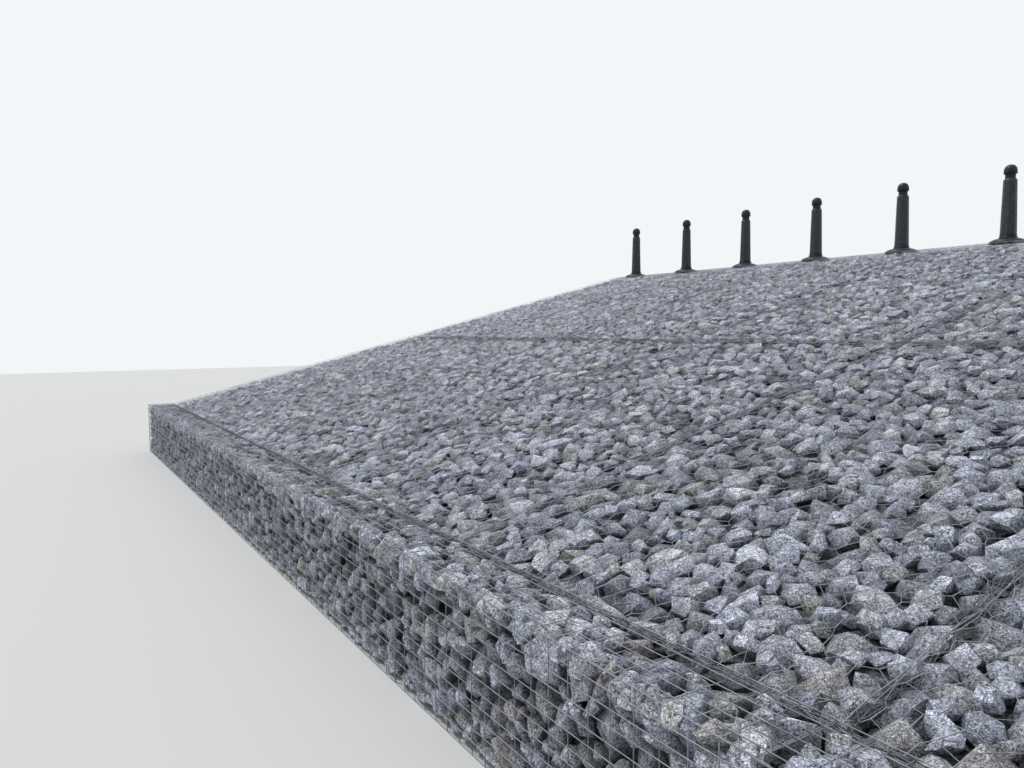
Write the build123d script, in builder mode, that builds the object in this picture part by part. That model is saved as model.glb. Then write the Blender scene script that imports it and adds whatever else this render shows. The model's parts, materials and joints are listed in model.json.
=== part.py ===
from build123d import *
import math
import os

os.makedirs("parts", exist_ok=True)

# A gabion toe wall in front of a bank faced with gabion mattresses, with a row of bollards
# along its crest. All lengths are in millimetres. X runs along the wall, +Y goes into the
# bank and +Z is up. The origin is at the middle of the footprint, at pavement level.

# Bays along the wall
bay_length = 2000
bay_count = 6
backing_bays = 2            # a backing or crest unit is as long as this many bays

# Toe wall of box gabions
toe_depth = 310
toe_height = 620

# Welded mesh of the toe baskets
wire = 5
mesh_run = 222              # pitch of the upright wires along the wall
mesh_rise = 103             # pitch of the long wires up the face
lid_pitch = 155             # pitch of the long wires across the lid and of the end panels' uprights
panel_clearance = 0.3       # between a basket's lid and its front

# Gabion mattresses on the slope
slope_degrees = 14.1
lower_length = 3650         # of the lower row, measured up the slope
upper_length = 4250         # of the upper row
mattress_thickness = 300
edge_round = 45             # the stones round off a mattress's top edges

# Stone backing and crest behind the mattresses
course_height = 1000
crest_depth = 500
crest_height = 500

# Lacing bundles that tie the baskets together
lacing_radius = 6
lacing_sides = 6

# Bollards: cast feet, rings and caps with round_sides sides, and eight-sided shafts
first_bollard = 285         # from the left end of the wall
bollard_pitch = 1270
bollard_setback = 250       # from the front edge of the crest
round_sides = 12
dome_steps = 3
dome_turn = 77              # degrees that a dome turns inwards before its flat top
foot_radius = 195
foot_edge = 14
foot_height = 62
ring_radius = 90
ring_height = 30
shaft_sides = 8
shaft_foot_width = 160      # across the flats
shaft_head_width = 130
shaft_height = 620
shoulder_head_width = 116
shoulder_height = 12
neck_radius = 54
neck_height = 58
cap_radius = 69
cap_rim = 38                # below the domed top

# Places worked out from the sizes
slope = math.radians(slope_degrees)
wall_length = bay_length * bay_count
left_end = -wall_length / 2
slope_length = lower_length + upper_length
crest_run = slope_length * math.cos(slope)
total_depth = toe_depth + crest_run + crest_depth
front_y = -total_depth / 2
toe_back_y = front_y + toe_depth
crest_y = toe_back_y + crest_run
back_y = crest_y + crest_depth
crest_z = toe_height + slope_length * math.sin(slope)
crest_foot_z = crest_z - crest_height


def on_slope(distance, depth=0.0):
    """The (y, z) of a point up the slope from the toe wall, at a depth below the surface."""
    y = toe_back_y + distance * math.cos(slope) + depth * math.sin(slope)
    z = toe_height + distance * math.sin(slope) - depth * math.cos(slope)
    return (y, z)


def underside(y):
    """Height of the mattresses' lower face above the pavement."""
    return toe_height + (y - toe_back_y) * math.tan(slope) - mattress_thickness / math.cos(slope)


def underside_reaches(z):
    """Where the mattresses' lower face comes up to a height."""
    return toe_back_y + (z - toe_height + mattress_thickness / math.cos(slope)) / math.tan(slope)


slope_plane = Plane(
    origin=(0, toe_back_y, toe_height),
    x_dir=(1, 0, 0),
    z_dir=(0, -math.sin(slope), math.cos(slope)),
)


def save(part, name):
    part.label = name
    export_step(part, f"parts/{name}.step")


def welded_panel(length, height, run, rise):
    """A flat sheet cut through by an even grid of openings, which leaves the welded wires."""
    columns = max(1, round(length / run))
    rows = max(1, round(height / rise))
    column_pitch = (length - wire) / columns
    row_pitch = (height - wire) / rows
    Rectangle(length, height)
    with GridLocations(column_pitch, row_pitch, columns, rows):
        Rectangle(column_pitch - wire, row_pitch - wire, mode=Mode.SUBTRACT)


# Toe wall: the stone in each box gabion, drawn in by a wire where mesh covers it
for bay in range(bay_count):
    start = left_end + bay * bay_length + (wire if bay == 0 else 0)
    end = left_end + (bay + 1) * bay_length - (wire if bay == bay_count - 1 else 0)
    with BuildPart() as toe_gabion:
        with BuildSketch(Plane.YZ.offset(start)):
            with BuildLine():
                Polyline(
                    (front_y + wire, 0),
                    (toe_back_y, 0),
                    (toe_back_y, toe_height - wire),
                    (front_y + wire, toe_height - wire),
                    close=True,
                )
            make_face()
        extrude(amount=end - start)
    save(toe_gabion.part, f"toe_gabion_{bay + 1}")

# Toe wall: each basket's welded front and lid, two panels that are laced together
lid_depth = toe_depth - wire - panel_clearance
front_plane = Plane(origin=(0, front_y + wire, toe_height / 2), x_dir=(1, 0, 0), z_dir=(0, -1, 0))
lid_plane = Plane(origin=(0, toe_back_y - lid_depth / 2, toe_height - wire))
with BuildPart() as toe_basket:
    with BuildSketch(front_plane):
        welded_panel(bay_length, toe_height, mesh_run, mesh_rise)
    extrude(amount=wire)
    with BuildSketch(lid_plane):
        welded_panel(bay_length, lid_depth, mesh_run, lid_pitch)
    extrude(amount=wire)
for bay in range(bay_count):
    bay_middle = left_end + (bay + 0.5) * bay_length
    save(toe_basket.part.moved(Location((bay_middle, 0, 0))), f"toe_basket_{bay + 1}")

# Toe wall: a welded panel closes each end of the wall, behind the front and under the lid
end_middle = (front_y + wire + toe_back_y) / 2
with BuildPart() as toe_end_panels:
    for outer_x, inward in ((left_end, 1), (-left_end, -1)):
        end_plane = Plane(
            origin=(outer_x, end_middle, (toe_height - wire) / 2), x_dir=(0, 1, 0), z_dir=(inward, 0, 0)
        )
        with BuildSketch(end_plane):
            welded_panel(toe_depth - wire, toe_height - wire, lid_pitch, mesh_rise)
        extrude(amount=wire)
save(toe_end_panels.part, "toe_end_panels")

# Two rows of mattresses: their joint is square to the slope, their outer ends are upright
lower_outline = [
    on_slope(0),
    on_slope(lower_length),
    on_slope(lower_length, mattress_thickness),
    (toe_back_y, underside(toe_back_y)),
]
upper_outline = [
    on_slope(lower_length),
    on_slope(slope_length),
    (crest_y, underside(crest_y)),
    on_slope(lower_length, mattress_thickness),
]
for row, outline in (("lower", lower_outline), ("upper", upper_outline)):
    for bay in range(bay_count):
        with BuildPart() as mattress:
            with BuildSketch(Plane.YZ.offset(left_end + bay * bay_length)):
                with BuildLine():
                    Polyline(*outline, close=True)
                make_face()
            extrude(amount=bay_length)
            top = mattress.faces().filter_by(slope_plane).sort_by(Axis.Z)[-1]
            fillet(top.edges(), radius=edge_round)
        save(mattress.part, f"{row}_mattress_{bay + 1}")

# The stone mass behind and below the mattresses, in two courses cut to the slope
lower_backing_outline = [
    (toe_back_y, 0),
    (back_y, 0),
    (back_y, course_height),
    (underside_reaches(course_height), course_height),
    (toe_back_y, underside(toe_back_y)),
]
upper_backing_outline = [
    (underside_reaches(course_height), course_height),
    (back_y, course_height),
    (back_y, crest_foot_z),
    (crest_y, crest_foot_z),
    (crest_y, underside(crest_y)),
]
crest_outline = [
    (crest_y, crest_foot_z),
    (back_y, crest_foot_z),
    (back_y, crest_z),
    (crest_y, crest_z),
]
unit_length = bay_length * backing_bays
for name, outline in (
    ("lower_backing", lower_backing_outline),
    ("upper_backing", upper_backing_outline),
    ("crest_gabion", crest_outline),
):
    for unit in range(math.ceil(bay_count / backing_bays)):
        start = left_end + unit * unit_length
        with BuildPart() as backing:
            with BuildSketch(Plane.YZ.offset(start)):
                with BuildLine():
                    Polyline(*outline, close=True)
                make_face()
            extrude(amount=min(unit_length, -left_end - start))
        save(backing.part, f"{name}_{unit + 1}")

# Lacing: a bundle on the lid where the mattresses start, and a net of bundles that lies
# down in the grooves between the rounded edges of the mattresses
groove_depth = edge_round - math.sqrt((edge_round + lacing_radius) ** 2 - edge_round**2)
with BuildPart() as toe_lacing:
    with BuildSketch(Plane.YZ.offset(left_end)):
        with Locations((toe_back_y - lacing_radius, toe_height + lacing_radius)):
            RegularPolygon(lacing_radius, lacing_sides, major_radius=False)
    extrude(amount=wall_length)
save(toe_lacing.part, "toe_lacing")

with BuildPart() as slope_lacing:
    with BuildSketch(Plane.YZ.offset(left_end)):
        with Locations(on_slope(lower_length, groove_depth)):
            RegularPolygon(lacing_radius, lacing_sides, rotation=slope_degrees)
    extrude(amount=wall_length)
    start_y, start_z = on_slope(edge_round, groove_depth)
    for joint in range(1, bay_count):
        joint_x = left_end + joint * bay_length
        up_slope = Plane(
            origin=(joint_x, start_y, start_z),
            x_dir=(1, 0, 0),
            z_dir=(0, math.cos(slope), math.sin(slope)),
        )
        with BuildSketch(up_slope):
            RegularPolygon(lacing_radius, lacing_sides)
        extrude(amount=slope_length - 2 * edge_round)
save(slope_lacing.part, "slope_lacing")

# Bollards: a domed foot with a ring on it, a tapered shaft with a shoulder, a neck and a cap
shaft_z = foot_height + ring_height
shoulder_z = shaft_z + shaft_height
neck_z = shoulder_z + shoulder_height
cap_z = neck_z + neck_height
dome_z = cap_z + cap_rim


def dome(low_radius, high_radius, low_z, height):
    """Radius and height of each step of a dome that starts upright and turns inwards."""
    steps = []
    for step in range(dome_steps + 1):
        turn = math.radians(dome_turn * step / dome_steps)
        radius = high_radius + (low_radius - high_radius) * math.cos(turn)
        steps.append((radius, low_z + height * math.sin(turn)))
    return steps


foot_rings = [(foot_radius, 0), *dome(foot_radius, ring_radius, foot_edge, foot_height - foot_edge)]
foot_rings += [(ring_radius, foot_height), (ring_radius, shaft_z)]
shaft_rings = [
    (shaft_foot_width / 2, shaft_z),
    (shaft_head_width / 2, shoulder_z),
    (shoulder_head_width / 2, neck_z),
]
neck_rings = [(neck_radius, neck_z), (neck_radius, cap_z)]
cap_rings = [(cap_radius, cap_z), *dome(cap_radius, 0, dome_z, cap_radius)]
with BuildPart() as one_bollard:
    for rings, sides in (
        (foot_rings, round_sides),
        (shaft_rings, shaft_sides),
        (neck_rings, round_sides),
        (cap_rings, round_sides),
    ):
        for (low_radius, low_z), (high_radius, high_z) in zip(rings, rings[1:]):
            rise = high_z - low_z
            with BuildSketch(Plane.XY.offset(low_z)):
                RegularPolygon(low_radius, sides, major_radius=False, rotation=180 / sides)
            extrude(amount=rise, taper=math.degrees(math.atan2(low_radius - high_radius, rise)))

# The row runs on at its pitch for as long as a whole foot still stands on the crest
bollard_count = 1 + int((wall_length - first_bollard - foot_radius) // bollard_pitch)
for number in range(bollard_count):
    place = Location(
        (left_end + first_bollard + number * bollard_pitch, crest_y + bollard_setback, crest_z)
    )
    save(one_bollard.part.moved(place), f"bollard_{number + 1}")
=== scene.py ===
import json
import math
import time

import bmesh
import bpy
import numpy as np
from mathutils import Matrix, Vector

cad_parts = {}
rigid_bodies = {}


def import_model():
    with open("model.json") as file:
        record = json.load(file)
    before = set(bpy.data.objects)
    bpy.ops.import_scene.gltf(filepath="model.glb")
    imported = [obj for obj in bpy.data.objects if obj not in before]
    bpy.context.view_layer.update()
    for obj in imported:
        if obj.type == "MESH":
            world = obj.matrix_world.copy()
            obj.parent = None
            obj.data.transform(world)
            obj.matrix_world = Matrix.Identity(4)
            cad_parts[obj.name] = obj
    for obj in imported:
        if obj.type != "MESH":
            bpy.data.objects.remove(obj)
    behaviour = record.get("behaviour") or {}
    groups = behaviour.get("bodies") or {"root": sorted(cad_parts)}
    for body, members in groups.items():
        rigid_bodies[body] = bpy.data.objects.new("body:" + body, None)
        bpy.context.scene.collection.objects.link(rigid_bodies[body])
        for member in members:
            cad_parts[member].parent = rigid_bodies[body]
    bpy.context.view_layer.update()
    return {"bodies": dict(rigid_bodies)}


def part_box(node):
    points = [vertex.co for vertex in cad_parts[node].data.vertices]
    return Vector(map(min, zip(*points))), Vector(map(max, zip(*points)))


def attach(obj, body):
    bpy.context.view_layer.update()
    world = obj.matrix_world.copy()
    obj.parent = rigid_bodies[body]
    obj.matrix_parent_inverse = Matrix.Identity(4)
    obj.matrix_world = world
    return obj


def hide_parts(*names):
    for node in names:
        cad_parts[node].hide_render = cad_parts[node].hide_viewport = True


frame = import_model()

started = time.time()
body = next(iter(frame["bodies"]))
triangleCount = {}


def report(stage):
    print(f"{time.time() - started:6.1f} s  {stage}")


# The wall's places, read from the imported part. X runs along the wall, Y goes into the bank.
wall = {
    "bays": 6,
    "units": 3,             # backing and crest units, each two bays long
    "lowerRow": 3.65,       # length of the lower mattresses up the slope
}
toeLow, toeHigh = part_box("toe_basket_1")
crestLow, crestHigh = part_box("crest_gabion_1")
backingLow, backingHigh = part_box("upper_backing_1")
leftEnd = toeLow.x
bayLength = toeHigh.x - toeLow.x
rightEnd = leftEnd + wall["bays"] * bayLength
unitLength = (rightEnd - leftEnd) / wall["units"]
lastBay, lastUnit = wall["bays"] - 1, wall["units"] - 1
frontY, toeBackY, toeTop = toeLow.y, toeHigh.y, toeHigh.z
crestY, backY, crestZ, crestFoot = crestLow.y, crestHigh.y, crestHigh.z, crestLow.z
courseTop = backingLow.z
slope = math.atan2(crestZ - toeTop, crestY - toeBackY)
slopeLength = math.hypot(crestZ - toeTop, crestY - toeBackY)
mattressDepth = (crestZ - backingHigh.z) * math.cos(slope)
slack = 0.001               # between a block and the joint of two bays
anyTurn = 6.28              # for a turn or a phase picked at random
alongWall = Vector((1, 0, 0))
upSlope = Vector((0, math.cos(slope), math.sin(slope)))
slopeNormal = Vector((0, -math.sin(slope), math.cos(slope)))


def onSlope(distance, depth=0.0):
    place = Vector((0, toeBackY, toeTop)) + upSlope * distance - slopeNormal * depth
    return (place.y, place.z)


def underside(y):
    return toeTop + (y - toeBackY) * math.tan(slope) - mattressDepth / math.cos(slope)


def undersideReaches(z):
    return toeBackY + (z - toeTop + mattressDepth / math.cos(slope)) / math.tan(slope)


# A face of the wall: a flat region with its own u, v and outward directions
def makeFace(origin, u, v, outline=None, margins=None):
    u, v = Vector(u).normalized(), Vector(v).normalized()
    axes = np.array([u, v, u.cross(v)])
    return {"origin": np.array(origin), "axes": axes, "outline": outline, "margins": margins}


def faceToWorld(face, points):
    return face["origin"] + np.asarray(points) @ face["axes"]


def rectangle(width, height, start=0.0):
    return [(start, 0), (start + width, 0), (start + width, height), (start, height)]


def uprightFace(origin, along, width, height, margins=None):
    return makeFace(origin, along, (0, 0, 1), rectangle(width, height), margins)


def levelFace(origin, width, depth):
    return makeFace(origin, alongWall, (0, 1, 0), rectangle(width, depth))


def endFaces(outline):
    # the same outline in (y, z) seen from the right end and, turned round, from the left end
    turned = [(-y, z) for y, z in reversed(outline)]
    return {
        lastBay: makeFace((rightEnd, 0, 0), (0, 1, 0), (0, 0, 1), outline),
        0: makeFace((leftEnd, 0, 0), (0, -1, 0), (0, 0, 1), turned),
    }


def edgeLines(outline):
    # the inward normal of each edge of an outline that runs anticlockwise, and its distance along that
    corners = np.array(outline, float)
    edges = np.roll(corners, -1, 0) - corners
    normals = np.stack([-edges[:, 1], edges[:, 0]], 1) / np.linalg.norm(edges, axis=1)[:, None]
    return normals, (normals * corners).sum(1)


def insetOutline(outline, inset):
    # every edge of a convex outline moved inwards
    normals, offsets = edgeLines(outline)
    offsets = offsets + inset
    return [np.linalg.solve(normals[[k - 1, k]], offsets[[k - 1, k]]) for k in range(len(outline))]


def edgeDistances(outline, points):
    # distance of each point from each edge's line, positive inside
    normals, offsets = edgeLines(outline)
    return points @ normals.T - offsets, normals


# Meshes are gathered as arrays, one heap for each piece with its own random numbers, and made in one go
def newHeap(seed=0):
    parts = ("verts", "tris", "facet", "tone", "edge", "depth", "material")
    return {"count": 0, "rng": np.random.default_rng(seed), **{part: [] for part in parts}}


# depth holds how deep each corner lies between the stones, for the painted shade
def addToHeap(heap, verts, tris, facet=None, tone=None, edge=None, depth=None, material=0):
    heap["verts"].append(verts)
    heap["tris"].append(tris + heap["count"])
    heap["facet"].append(np.full(len(tris), -1) if facet is None else facet)
    heap["tone"].append(np.full((len(tris), 4), 0.5) if tone is None else tone)
    heap["edge"].append(np.zeros(len(verts)) if edge is None else edge)
    heap["depth"].append(np.zeros(len(verts)) if depth is None else depth)
    heap["material"].append(np.full(len(tris), material))
    heap["count"] += len(verts)


def placeObject(name, data):
    placed = bpy.data.objects.new(name, data)
    bpy.context.scene.collection.objects.link(placed)
    return placed


def finishHeap(heap, name, materials, replaced=()):
    verts = np.concatenate(heap["verts"]).astype(np.float32)
    tris = np.concatenate(heap["tris"]).astype(np.int32)
    facet = np.concatenate(heap["facet"])
    mesh = bpy.data.meshes.new(name)
    mesh.vertices.add(len(verts))
    mesh.vertices.foreach_set("co", verts.ravel())
    mesh.loops.add(tris.size)
    mesh.loops.foreach_set("vertex_index", tris.ravel())
    mesh.polygons.add(len(tris))
    mesh.polygons.foreach_set("loop_start", np.arange(0, tris.size, 3, dtype=np.int32))
    mesh.update(calc_edges=True)
    mesh.polygons.foreach_set("use_smooth", np.ones(len(tris), bool))
    # an edge is sharp where two facets of a stone meet
    loopEdge = np.zeros(tris.size, np.int32)
    mesh.loops.foreach_get("edge_index", loopEdge)
    loopFacet = np.repeat(facet, 3)
    lowest = np.full(len(mesh.edges), np.iinfo(int).max)
    highest = np.full(len(mesh.edges), -2)
    np.minimum.at(lowest, loopEdge, loopFacet)
    np.maximum.at(highest, loopEdge, loopFacet)
    sharp = mesh.attributes.new("sharp_edge", "BOOLEAN", "EDGE")
    sharp.data.foreach_set("value", lowest != highest)
    tone = mesh.attributes.new("stoneTone", "FLOAT_COLOR", "FACE")
    tone.data.foreach_set("color", np.concatenate(heap["tone"]).astype(np.float32).ravel())
    # the second mask is the depth that sets the painted shade between the stones
    for label, values in (("edgeMask", heap["edge"]), ("paintedShadeDepth", heap["depth"])):
        mask = mesh.attributes.new(label, "FLOAT", "POINT")
        mask.data.foreach_set("value", np.concatenate(values).astype(np.float32))
    mesh.polygons.foreach_set("material_index", np.concatenate(heap["material"]).astype(np.int32))
    for material in materials:
        mesh.materials.append(material)
    mesh.update()
    piece = placeObject(name, mesh)
    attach(piece, body)
    if replaced:
        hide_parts(*replaced)
    triangleCount[name] = len(tris)


# Shader helpers; nodes are laid out in rows
nodeSheet = {"columns": 8, "across": 220, "down": -320}


def newMaterial(name):
    material = bpy.data.materials.new(name)
    material.use_nodes = True
    tree = material.node_tree
    tree.nodes.clear()
    shader = addNode(tree, "ShaderNodeBsdfPrincipled")
    addNode(tree, "ShaderNodeOutputMaterial", {"Surface": shader.outputs["BSDF"]})
    return material, tree, shader


def addNode(tree, kind, inputs=None, **settings):
    made = tree.nodes.new(kind)
    line, column = divmod(len(tree.nodes), nodeSheet["columns"])
    made.location = (column * nodeSheet["across"], line * nodeSheet["down"])
    for key, value in settings.items():
        setattr(made, key, value)
    for key, value in (inputs or {}).items():
        if isinstance(value, bpy.types.NodeSocket):
            tree.links.new(value, made.inputs[key])
        else:
            made.inputs[key].default_value = value
    return made


def addMath(tree, operation, first, *others, clamp=False):
    # one node for each further value
    for other in others or [0.5]:
        inputs = {0: first, 1: other}
        first = addNode(tree, "ShaderNodeMath", inputs, operation=operation, use_clamp=clamp).outputs[0]
    return first


def addSum(tree, *parts):
    # values added up, each times its share
    total = 0.0
    for value, share in parts:
        inputs = {0: value, 1: share, 2: total}
        total = addNode(tree, "ShaderNodeMath", inputs, operation="MULTIPLY_ADD").outputs[0]
    return total


def addMix(tree, factor, first, second, blend="MIX"):
    inputs = {0: factor, 6: first, 7: second}
    return addNode(tree, "ShaderNodeMix", inputs, data_type="RGBA", blend_type=blend).outputs[2]


def addRange(tree, value, *limits):
    # from the first two limits to the other two, or to 0 and 1
    return addNode(tree, "ShaderNodeMapRange", {0: value, **dict(enumerate(limits, 1))}).outputs[0]


def addRamp(tree, factor, stops):
    made = addNode(tree, "ShaderNodeValToRGB", {0: factor})
    ramp = made.color_ramp
    while len(ramp.elements) < len(stops):
        ramp.elements.new(0.5)
    for element, (position, colour) in zip(ramp.elements, stops):
        element.position = position
        element.color = (*colour, 1)
    return made.outputs[0]


def addNoise(tree, vector, *settings):
    # scale, detail, roughness and distortion
    labels = ("Scale", "Detail", "Roughness", "Distortion")
    return addNode(tree, "ShaderNodeTexNoise", {"Vector": vector, **dict(zip(labels, settings))}).outputs[0]


def addMask(tree, name):
    return addNode(tree, "ShaderNodeAttribute", attribute_name=name).outputs["Fac"]


def newGroup(name, inputs, outputs):
    # a tuple makes a colour socket and a number a plain one
    group = bpy.data.node_groups.new(name, "ShaderNodeTree")
    for label, value in inputs.items():
        kind = "NodeSocketColor" if isinstance(value, tuple) else "NodeSocketFloat"
        group.interface.new_socket(label, in_out="INPUT", socket_type=kind).default_value = value
    for label in outputs:
        kind = "NodeSocketColor" if label == "Color" else "NodeSocketFloat"
        group.interface.new_socket(label, in_out="OUTPUT", socket_type=kind)
    place = addNode(group, "ShaderNodeTexCoord").outputs["Object"]
    return group, addNode(group, "NodeGroupInput").outputs, place


def placeGroup(tree, group, values):
    return addNode(tree, "ShaderNodeGroup", values, node_tree=group).outputs


# Group: the colour, roughness and height of crushed rock, different for each stone
stoneSkin = {
    "apart": (41.0, 23.0, 31.0),            # moves the pattern from one stone to the next
    "patches": (24.0, 4.0, 0.62),           # noises: scale, detail, roughness, distortion
    "mottle": (92.0, 3.0, 0.85),
    "speckle": (170.0, 1.0, 0.60),
    "veins": (11.0, 1.0, 0.50, 0.3),
    "threads": (46.0, 2.0, 0.60, 1.4),
    "greyShares": (0.30, 0.60, 0.16),       # of a stone's brightness, its patches and its facets
    "greys": [
        (0.24, (0.190, 0.200, 0.240)),
        (0.46, (0.385, 0.400, 0.462)),
        (0.62, (0.560, 0.576, 0.650)),
        (0.80, (0.660, 0.672, 0.738)),
    ],
    "hues": [                               # blue, slate, plain, purple, olive and a few tan stones
        (0.00, (0.84, 0.91, 1.00)),
        (0.35, (0.93, 0.95, 1.00)),
        (0.55, (0.98, 0.97, 0.98)),
        (0.68, (0.99, 0.94, 0.99)),
        (0.82, (0.97, 0.98, 0.91)),
        (0.93, (1.00, 0.95, 0.82)),
        (1.00, (1.00, 0.88, 0.60)),
    ],
    "paleGrey": (0.56, 0.56, 0.55, 1),
    "paleStones": (0.95, 0.97, 0.0, 0.40),  # ranges: a value from this to that becomes this to that
    "pits": (0.40, 0.58, 0.10, 1.38),
    "flecks": (0.54, 0.60, 0.0, 0.9),
    "threadWidth": (0.020, 0.048, 1.0, 0.0),
    "veinWidth": (0.003, 0.010, 1.0, 0.0),
    "veinedKinds": (0.20, 0.50, 1.0, 0.0),
    # painted shade on a stone's sides, from none to the darkest by its depth
    "shadeOnSides": (0.12, 1.0, 1.0, 0.20),
    "roughness": (0.3, 0.7, 0.72, 0.92),
    # the pale edges are partly scuffing and partly a painted highlight
    "scuffAndHighlightEdge": 3.0,                     # power of the edge mask
    "veinLift": 1.3,
    "paleLift": 1.40,
    "heights": (1.0, 0.60, 0.10),           # of the patches, the mottle and the threads
}


def makeQuarriedStone():
    skin = stoneSkin
    group, given, place = newGroup(
        "quarriedStone",
        {"Lightness": 1.0, "ScuffingAndHighlight": 0.5, "Veins": 0.5, "Crackle": 0.4, "Tinting": 0.8},
        ("Color", "Roughness", "Height"),
    )
    tone = addNode(group, "ShaderNodeAttribute", attribute_name="stoneTone").outputs
    brightness, kind, facetTone = addNode(group, "ShaderNodeSeparateColor", {0: tone["Color"]}).outputs
    seed = tone["Alpha"]
    inputs = {0: seed, 1: skin["apart"], 2: place}
    spot = addNode(group, "ShaderNodeVectorMath", inputs, operation="MULTIPLY_ADD").outputs[0]
    noises = ("patches", "mottle", "speckle", "veins", "threads")
    patches, mottle, speckle, veins, threads = (addNoise(group, spot, *skin[noise]) for noise in noises)

    def creases(noise, width):
        # thin lines where a noise crosses its middle value
        return addRange(group, addMath(group, "ABSOLUTE", addMath(group, "SUBTRACT", noise, 0.5)), *width)

    # body colour: blue grey, darker or paler stone by stone, facet by facet and patch by patch
    grey = addSum(group, *zip((brightness, patches, facetTone), skin["greyShares"]))
    colour = addRamp(group, grey, skin["greys"])
    hue = addRamp(group, kind, skin["hues"])
    tinted = addMix(group, 1.0, colour, hue, "MULTIPLY")
    colour = addMix(group, given["Tinting"], colour, tinted)
    palest = addRange(group, seed, *skin["paleStones"])
    colour = addMix(group, palest, colour, skin["paleGrey"])
    # a granular skin: dark pits, pale flecks, pale edges that are partly scuffing and partly a painted
    # highlight, and a tangle of fine pale threads
    edge = addMath(group, "POWER", addMask(group, "edgeMask"), skin["scuffAndHighlightEdge"])
    scuffAndHighlight = addMath(group, "MULTIPLY", edge, mottle, given["ScuffingAndHighlight"])
    thread = addMath(group, "MULTIPLY", creases(threads, skin["threadWidth"]), given["Crackle"])
    veined = addRange(group, kind, *skin["veinedKinds"])
    vein = creases(veins, skin["veinWidth"])
    vein = addMath(group, "MULTIPLY", vein, veined, given["Veins"], skin["veinLift"])
    flecks = addRange(group, speckle, *skin["flecks"])
    pale = addMath(group, "ADD", addMath(group, "MAXIMUM", thread, vein), flecks, scuffAndHighlight)
    pits = addRange(group, mottle, *skin["pits"])
    grain = addSum(group, (pits, 1.0), (pale, skin["paleLift"]))
    colour = addMix(group, 1.0, colour, grain, "MULTIPLY")
    # painted shade: the sides of a stone are darker, the deeper they lie between its neighbours
    sides = addRange(group, addMask(group, "paintedShadeDepth"), *skin["shadeOnSides"])
    lightnessWithShade = addMath(group, "MULTIPLY", given["Lightness"], sides)
    addNode(group, "NodeGroupOutput", {
        "Color": addMix(group, 1.0, colour, lightnessWithShade, "MULTIPLY"),
        "Roughness": addRange(group, mottle, *skin["roughness"]),
        "Height": addSum(group, *zip((patches, mottle, thread), skin["heights"])),
    })
    return group


# Group: grime and dust, thicker in patches and on faces that look up
dustFall = {
    "clouds": (5.0, 0.65),                  # detail and roughness
    "patches": (0.38, 0.72),
    "facing": (-0.2, 0.95, 0.25, 1.0),
}


def makeStreetDust():
    group, given, place = newGroup("streetDust", {"Amount": 0.4, "Patch Size": 14.0}, ("Mask",))
    clouds = addNoise(group, place, given["Patch Size"], *dustFall["clouds"])
    normal = addNode(group, "ShaderNodeNewGeometry").outputs["Normal"]
    up = addNode(group, "ShaderNodeSeparateXYZ", {0: normal}).outputs[2]
    lying = addRange(group, up, *dustFall["facing"])
    patches = addRange(group, clouds, *dustFall["patches"])
    mask = addMath(group, "MULTIPLY", patches, lying, given["Amount"], clamp=True)
    addNode(group, "NodeGroupOutput", {"Mask": mask})
    return group


# Group: the grey patina of zinc on wire, with dull spots and a little rust
zincSkin = {
    "clouds": (18.0, 4.0, 0.7),
    "spots": (260.0, 3.0, 0.7),
    "cloudShare": 0.6,
    "spotShare": 0.5,
    "worn": (0.42, 0.66),
    "rusted": (0.72, 0.80, 0.0, 0.15),
    "rust": (0.19, 0.10, 0.055, 1),
    "roughness": (0.3, 0.75, 0.38, 0.68),
}


def makeZincPatina():
    skin = zincSkin
    colours = {"Pale": (0.5, 0.51, 0.53, 1), "Dark": (0.28, 0.29, 0.3, 1)}
    group, given, place = newGroup("zincPatina", colours, ("Color", "Roughness", "Height"))
    clouds = addNoise(group, place, *skin["clouds"])
    spots = addNoise(group, place, *skin["spots"])
    wear = addSum(group, (clouds, skin["cloudShare"]), (spots, skin["spotShare"]))
    worn = addRange(group, wear, *skin["worn"])
    colour = addMix(group, worn, given["Pale"], given["Dark"])
    rusted = addRange(group, spots, *skin["rusted"])
    addNode(group, "NodeGroupOutput", {
        "Color": addMix(group, rusted, colour, skin["rust"]),
        "Roughness": addRange(group, wear, *skin["roughness"]),
        "Height": spots,
    })
    return group


quarriedStone = makeQuarriedStone()
streetDust = makeStreetDust()
zincPatina = makeZincPatina()


def addDust(tree, colour, amount, patchSize, dustColour):
    mask = placeGroup(tree, streetDust, {"Amount": amount, "Patch Size": patchSize})["Mask"]
    return addMix(tree, mask, colour, dustColour)


def finishSurface(tree, shader, colour, roughness, bump, plain):
    # bump holds the Bump node's inputs, and plain the shader's values that are the same all over
    tree.links.new(colour, shader.inputs["Base Color"])
    tree.links.new(roughness, shader.inputs["Roughness"])
    tree.links.new(addNode(tree, "ShaderNodeBump", bump).outputs[0], shader.inputs["Normal"])
    for label, value in plain.items():
        shader.inputs[label].default_value = value


stoneFinish = {
    # the pale edges of the stones are partly scuffing and partly a painted highlight
    "bank": {"Lightness": 1.0, "ScuffingAndHighlight": 0.50, "Veins": 0.5, "Crackle": 1.0, "Tinting": 0.55},
    "toe": {"Lightness": 0.95, "ScuffingAndHighlight": 0.50, "Veins": 0.6, "Crackle": 1.0, "Tinting": 0.60},
    # the block and rubble behind the stones: their low lightness is painted shade
    "core": {"Lightness": 0.18, "ScuffingAndHighlight": 0.0, "Veins": 0.0, "Crackle": 0.0, "Tinting": 0.0},
    "bump": {"bank": 0.030, "toe": 0.026, "core": 0.020},
    "dust": {"bank": 0.10, "toe": 0.08, "core": 0.10},
    "dustPatch": 9.0,
    "dustColour": (0.47, 0.48, 0.515),
    "wornEdge": 0.010,
    "bevelSamples": 4,
    "specular": 0.35,
}


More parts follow.
